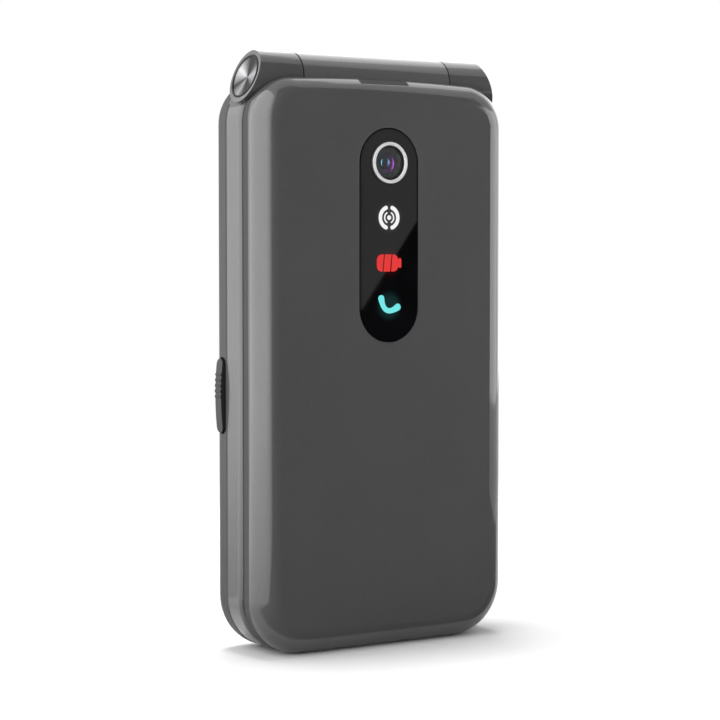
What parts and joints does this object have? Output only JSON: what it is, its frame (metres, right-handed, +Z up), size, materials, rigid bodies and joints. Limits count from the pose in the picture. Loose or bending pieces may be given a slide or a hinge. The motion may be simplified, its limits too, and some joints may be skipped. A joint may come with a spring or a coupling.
{
  "type": "flip phone",
  "caption": "Clamshell mobile phone with a barrel hinge, large keypad, inner screen, and a camera and light window on the lid.",
  "frame": {"origin": "middle of the bottom edge of the closed phone, which stands on it, at the middle of its width and thickness", "axes": "+X across the phone to its right as the lid is faced, +Y from the lid's front to the base's back, +Z up to the hinge"},
  "size_m": [0.055, 0.0175, 0.108],
  "materials": {
    "lid_shell": "graphite lacquer with a soft satin gloss",
    "front_housing": "graphite lacquer, as the lid",
    "rear_housing": "darker graphite, fine matt grain",
    "frame_black": "fine spark-eroded grain",
    "window_gloss": "polished, black behind",
    "screen_gloss": "polished, black behind",
    "display_dark": "switched off",
    "ring_metal": "turned and polished",
    "lens_glass": "coated",
    "cap_metal": "spun in rings",
    "grille_steel": "plain",
    "screw_steel": "plain",
    "soft_rubber": "matt",
    "inner_black": "matt",
    "light_guide": "milky",
    "circuit_board": "solder resist",
    "ribbon_amber": "polyimide film",
    "battery_wrap": "printed film with nothing on it",
    "contact_gold": "plated",
    "ring_silver": "satin",
    "rocker_black": "satin",
    "key_face": "satin with light figures",
    "key_green": "satin",
    "key_red": "satin"
  },
  "bodies": {
    "base": {"base_front_housing": "front_housing", "base_rear_housing": "rear_housing", "battery": "battery_wrap", "battery_contacts": "contact_gold", "main_board": "circuit_board", "shield_can": "grille_steel", "dome_sheet": "grille_steel", "keypad_mat": "soft_rubber", "loudspeaker": "inner_black", "microphone": "grille_steel", "usb_socket": "grille_steel", "card_socket": "grille_steel", "vibration_motor": "screw_steel", "side_switch": "circuit_board", "antenna": "contact_gold", "base_screws": "screw_steel", "hinge_end_caps": "cap_metal", "hinge_bush": "screw_steel", "hinge_shaft": "screw_steel", "hinge_ribbon": "ribbon_amber"},
    "lid": {"lid_front_cover": "lid_shell", "lid_window": "window_gloss", "camera_ring": "ring_metal", "camera_lens": "lens_glass", "camera_module": "inner_black", "light_guides": "light_guide", "lid_inner_frame": "frame_black", "screen_lens": "screen_gloss", "display_panel": "display_dark", "earpiece_grille": "grille_steel", "earpiece_receiver": "inner_black", "lid_board": "circuit_board", "lid_screws": "screw_steel", "lid_bumpers": "soft_rubber", "lid_magnet": "screw_steel", "hinge_barrel": "screw_steel", "hinge_spring": "screw_steel", "hinge_follower": "screw_steel", "lid_ribbon": "ribbon_amber"},
    "battery_cover": {"battery_cover": "rear_housing"},
    "nav_plate": {"nav_plate": "screw_steel"},
    "nav_ring": {"nav_ring": "ring_silver"},
    "volume_rocker": {"volume_rocker": "rocker_black"},
    "key_1": {"key_1": "key_face"},
    "key_2": {"key_2": "key_face"},
    "key_3": {"key_3": "key_face"},
    "key_4": {"key_4": "key_face"},
    "key_5": {"key_5": "key_face"},
    "key_6": {"key_6": "key_face"},
    "key_7": {"key_7": "key_face"},
    "key_8": {"key_8": "key_face"},
    "key_9": {"key_9": "key_face"},
    "key_star": {"key_star": "key_face"},
    "key_0": {"key_0": "key_face"},
    "key_hash": {"key_hash": "key_face"},
    "key_soft_left": {"key_soft_left": "key_face"},
    "key_soft_right": {"key_soft_right": "key_face"},
    "key_call": {"key_call": "key_green"},
    "key_end": {"key_end": "key_red"},
    "key_ok": {"key_ok": "key_face"}
  },
  "joints": [
    {"name": "lid_hinge", "type": "hinge", "parent": "base", "child": "lid", "pos_m": [0, -0.0004, 0.10335], "axis": [-1, 0, 0], "range_deg": [0, 160]},
    {"name": "battery_cover_lift", "type": "slide", "parent": "base", "child": "battery_cover", "axis": [0, 1, 0], "range_m": [0, 0.02]},
    {"name": "nav_tilt_up_down", "type": "hinge", "parent": "base", "child": "nav_plate", "pos_m": [0, 0.00145, 0.0705], "axis": [1, 0, 0], "range_deg": [-1, 1], "stiffness_Nm_per_rad": 0.2},
    {"name": "nav_tilt_left_right", "type": "hinge", "parent": "nav_plate", "child": "nav_ring", "pos_m": [0, 0.00065, 0.0705], "axis": [0, 0, 1], "range_deg": [-1, 1], "stiffness_Nm_per_rad": 0.2},
    {"name": "volume_rock", "type": "hinge", "parent": "base", "child": "volume_rocker", "pos_m": [-0.0249, 0.0052, 0.04635], "axis": [0, 1, 0], "range_deg": [-2, 2], "stiffness_Nm_per_rad": 0.1},
    {"name": "key_1_press", "type": "slide", "parent": "base", "child": "key_1", "axis": [0, 1, 0], "range_m": [0, 0.00025], "stiffness_N_per_m": 1000},
    {"name": "key_2_press", "type": "slide", "parent": "base", "child": "key_2", "axis": [0, 1, 0], "range_m": [0, 0.00025], "stiffness_N_per_m": 1000},
    {"name": "key_3_press", "type": "slide", "parent": "base", "child": "key_3", "axis": [0, 1, 0], "range_m": [0, 0.00025], "stiffness_N_per_m": 1000},
    {"name": "key_4_press", "type": "slide", "parent": "base", "child": "key_4", "axis": [0, 1, 0], "range_m": [0, 0.00025], "stiffness_N_per_m": 1000},
    {"name": "key_5_press", "type": "slide", "parent": "base", "child": "key_5", "axis": [0, 1, 0], "range_m": [0, 0.00025], "stiffness_N_per_m": 1000},
    {"name": "key_6_press", "type": "slide", "parent": "base", "child": "key_6", "axis": [0, 1, 0], "range_m": [0, 0.00025], "stiffness_N_per_m": 1000},
    {"name": "key_7_press", "type": "slide", "parent": "base", "child": "key_7", "axis": [0, 1, 0], "range_m": [0, 0.00025], "stiffness_N_per_m": 1000},
    {"name": "key_8_press", "type": "slide", "parent": "base", "child": "key_8", "axis": [0, 1, 0], "range_m": [0, 0.00025], "stiffness_N_per_m": 1000},
    {"name": "key_9_press", "type": "slide", "parent": "base", "child": "key_9", "axis": [0, 1, 0], "range_m": [0, 0.00025], "stiffness_N_per_m": 1000},
    {"name": "key_star_press", "type": "slide", "parent": "base", "child": "key_star", "axis": [0, 1, 0], "range_m": [0, 0.00025], "stiffness_N_per_m": 1000},
    {"name": "key_0_press", "type": "slide", "parent": "base", "child": "key_0", "axis": [0, 1, 0], "range_m": [0, 0.00025], "stiffness_N_per_m": 1000},
    {"name": "key_hash_press", "type": "slide", "parent": "base", "child": "key_hash", "axis": [0, 1, 0], "range_m": [0, 0.00025], "stiffness_N_per_m": 1000},
    {"name": "key_soft_left_press", "type": "slide", "parent": "base", "child": "key_soft_left", "axis": [0, 1, 0], "range_m": [0, 0.00025], "stiffness_N_per_m": 1000},
    {"name": "key_soft_right_press", "type": "slide", "parent": "base", "child": "key_soft_right", "axis": [0, 1, 0], "range_m": [0, 0.00025], "stiffness_N_per_m": 1000},
    {"name": "key_call_press", "type": "slide", "parent": "base", "child": "key_call", "axis": [0, 1, 0], "range_m": [0, 0.00025], "stiffness_N_per_m": 1000},
    {"name": "key_end_press", "type": "slide", "parent": "base", "child": "key_end", "axis": [0, 1, 0], "range_m": [0, 0.00025], "stiffness_N_per_m": 1000},
    {"name": "key_ok_press", "type": "slide", "parent": "base", "child": "key_ok", "axis": [0, 1, 0], "range_m": [0, 0.00025], "stiffness_N_per_m": 1000}
  ]
}
